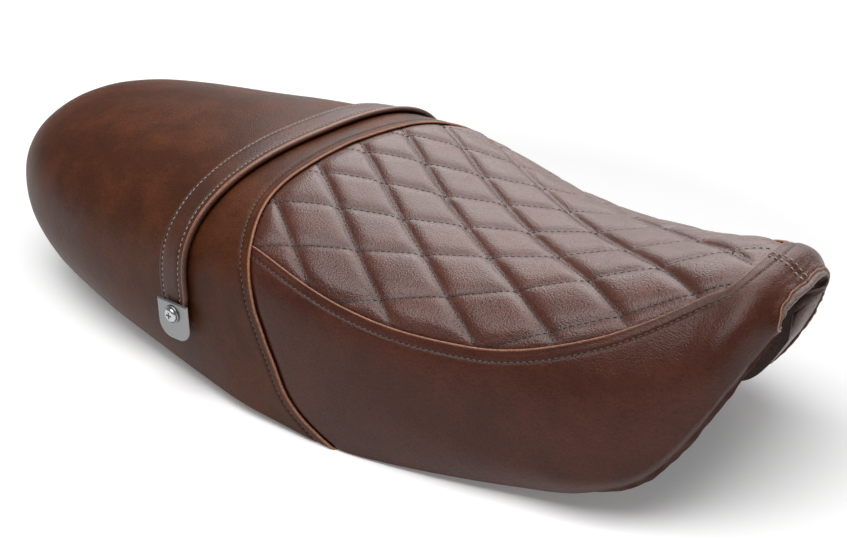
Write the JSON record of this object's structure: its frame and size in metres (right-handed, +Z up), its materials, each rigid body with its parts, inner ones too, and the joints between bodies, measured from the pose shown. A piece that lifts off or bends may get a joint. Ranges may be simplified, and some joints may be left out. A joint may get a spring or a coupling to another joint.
{
  "type": "motorcycle seat",
  "caption": "Dual motorcycle seat with a diamond-quilted rider panel, a smooth passenger end and a leather grab strap.",
  "frame": {"origin": "under the middle of the seat, at the level of the cover's lowest edge and the rear rubber feet", "axes": "+X to the nose, +Y to the rider's left, +Z up"},
  "size_m": [0.6869, 0.315, 0.1675],
  "materials": {
    "tail_leather": "satin",
    "side_leather": "satin",
    "quilt_leather": "satin",
    "edge_leather": "satin",
    "strap_leather": "satin",
    "foam": "matte",
    "wadding": "matte",
    "webbing": "matte",
    "pan_plastic": "matte",
    "plate_metal": "satin",
    "screw_metal": "polished",
    "zinc_metal": "satin",
    "bracket_metal": "satin",
    "rubber": "matte"
  },
  "bodies": {
    "seat": {"base_pan": "pan_plastic", "foam_core": "foam", "quilt_wadding": "wadding", "tail_cover": "tail_leather", "side_panel_right": "side_leather", "side_panel_left": "side_leather", "quilted_panel": "quilt_leather", "hem_tail": "edge_leather", "hem_right": "edge_leather", "hem_left": "edge_leather", "cover_staples": "zinc_metal", "strap_screw_right": "screw_metal", "strap_screw_left": "screw_metal", "strap_washer_right": "plate_metal", "strap_washer_left": "plate_metal", "strap_nut_right": "zinc_metal", "strap_nut_left": "zinc_metal", "front_tongue": "bracket_metal", "tongue_screws": "zinc_metal", "rear_bracket": "bracket_metal", "bracket_screws": "zinc_metal", "latch_striker": "zinc_metal", "rear_buffer_right": "rubber", "rear_buffer_left": "rubber", "rail_buffer_right": "rubber", "rail_buffer_left": "rubber"},
    "strap": {"grab_strap": "strap_leather", "strap_webbing": "webbing", "strap_plate_right": "plate_metal", "strap_plate_left": "plate_metal"}
  },
  "joints": [
    {"name": "strap_swing", "type": "hinge", "parent": "seat", "child": "strap", "pos_m": [-0.0515, 0, 0.0685], "axis": [0, 1, 0], "range_deg": [-3, 3]}
  ]
}
